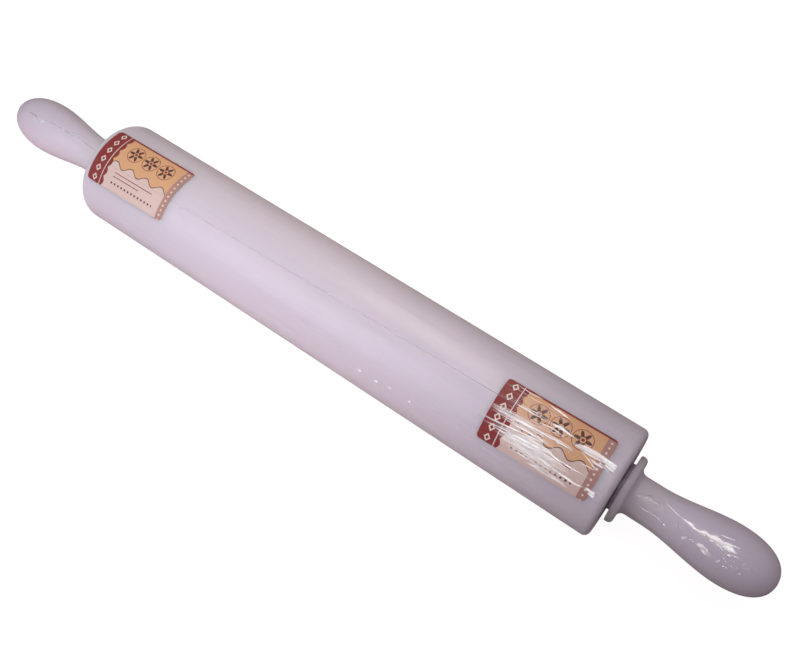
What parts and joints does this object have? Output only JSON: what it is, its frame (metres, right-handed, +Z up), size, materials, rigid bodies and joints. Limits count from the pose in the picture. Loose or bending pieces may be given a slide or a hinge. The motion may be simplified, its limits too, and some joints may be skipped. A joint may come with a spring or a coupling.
{
  "type": "rolling pin",
  "caption": "Plastic rolling pin: a thick barrel that turns on sealed ball bearings round a steel axle, with a moulded bulb handle at each end.",
  "frame": {"origin": "under the middle of the barrel, on the surface that the pin rests on", "axes": "+X along the pin, from the left handle to the right one; +Z up; the labels are turned from the top towards -Y"},
  "size_m": [0.6718, 0.0798, 0.0802],
  "materials": {
    "barrel_plastic": "lilac-white polyethylene, satin",
    "handle_plastic": "lilac-white moulded plastic, satin",
    "turned_steel": "turned",
    "spring_steel": "dark phosphated",
    "bearing_steel": "ground and polished",
    "cage_nylon": "natural nylon",
    "seal_rubber": "matt black",
    "insert_brass": "turned",
    "label_paper": "printed sticker"
  },
  "bodies": {
    "axle": {"axle_rod": "turned_steel", "left_bearing_inner_ring": "bearing_steel", "left_spacer_sleeve": "turned_steel", "left_handle_insert": "insert_brass", "left_handle": "handle_plastic", "right_bearing_inner_ring": "bearing_steel", "right_spacer_sleeve": "turned_steel", "right_handle_insert": "insert_brass", "right_handle": "handle_plastic"},
    "barrel": {"barrel": "barrel_plastic", "left_bearing_outer_ring": "bearing_steel", "left_bearing_outboard_seal": "seal_rubber", "left_bearing_inboard_seal": "seal_rubber", "left_retaining_ring": "spring_steel", "left_label": "label_paper", "right_bearing_outer_ring": "bearing_steel", "right_bearing_outboard_seal": "seal_rubber", "right_bearing_inboard_seal": "seal_rubber", "right_retaining_ring": "spring_steel", "right_label": "label_paper"},
    "left_ball_set": {"left_bearing_cage": "cage_nylon", "left_bearing_ball_1": "bearing_steel", "left_bearing_ball_2": "bearing_steel", "left_bearing_ball_3": "bearing_steel", "left_bearing_ball_4": "bearing_steel", "left_bearing_ball_5": "bearing_steel", "left_bearing_ball_6": "bearing_steel", "left_bearing_ball_7": "bearing_steel"},
    "right_ball_set": {"right_bearing_cage": "cage_nylon", "right_bearing_ball_1": "bearing_steel", "right_bearing_ball_2": "bearing_steel", "right_bearing_ball_3": "bearing_steel", "right_bearing_ball_4": "bearing_steel", "right_bearing_ball_5": "bearing_steel", "right_bearing_ball_6": "bearing_steel", "right_bearing_ball_7": "bearing_steel"}
  },
  "joints": [
    {"name": "barrel_spin", "type": "hinge", "parent": "axle", "child": "barrel", "pos_m": [0, 0, 0.03991], "axis": [1, 0, 0], "continuous": true},
    {"name": "left_cage_spin", "type": "hinge", "parent": "axle", "child": "left_ball_set", "pos_m": [0, 0, 0.03991], "axis": [1, 0, 0], "continuous": true},
    {"name": "right_cage_spin", "type": "hinge", "parent": "axle", "child": "right_ball_set", "pos_m": [0, 0, 0.03991], "axis": [1, 0, 0], "continuous": true}
  ],
  "couplings": [
    {"joint": "left_cage_spin", "follows": "barrel_spin", "ratio": 0.6329},
    {"joint": "right_cage_spin", "follows": "barrel_spin", "ratio": 0.6329}
  ]
}
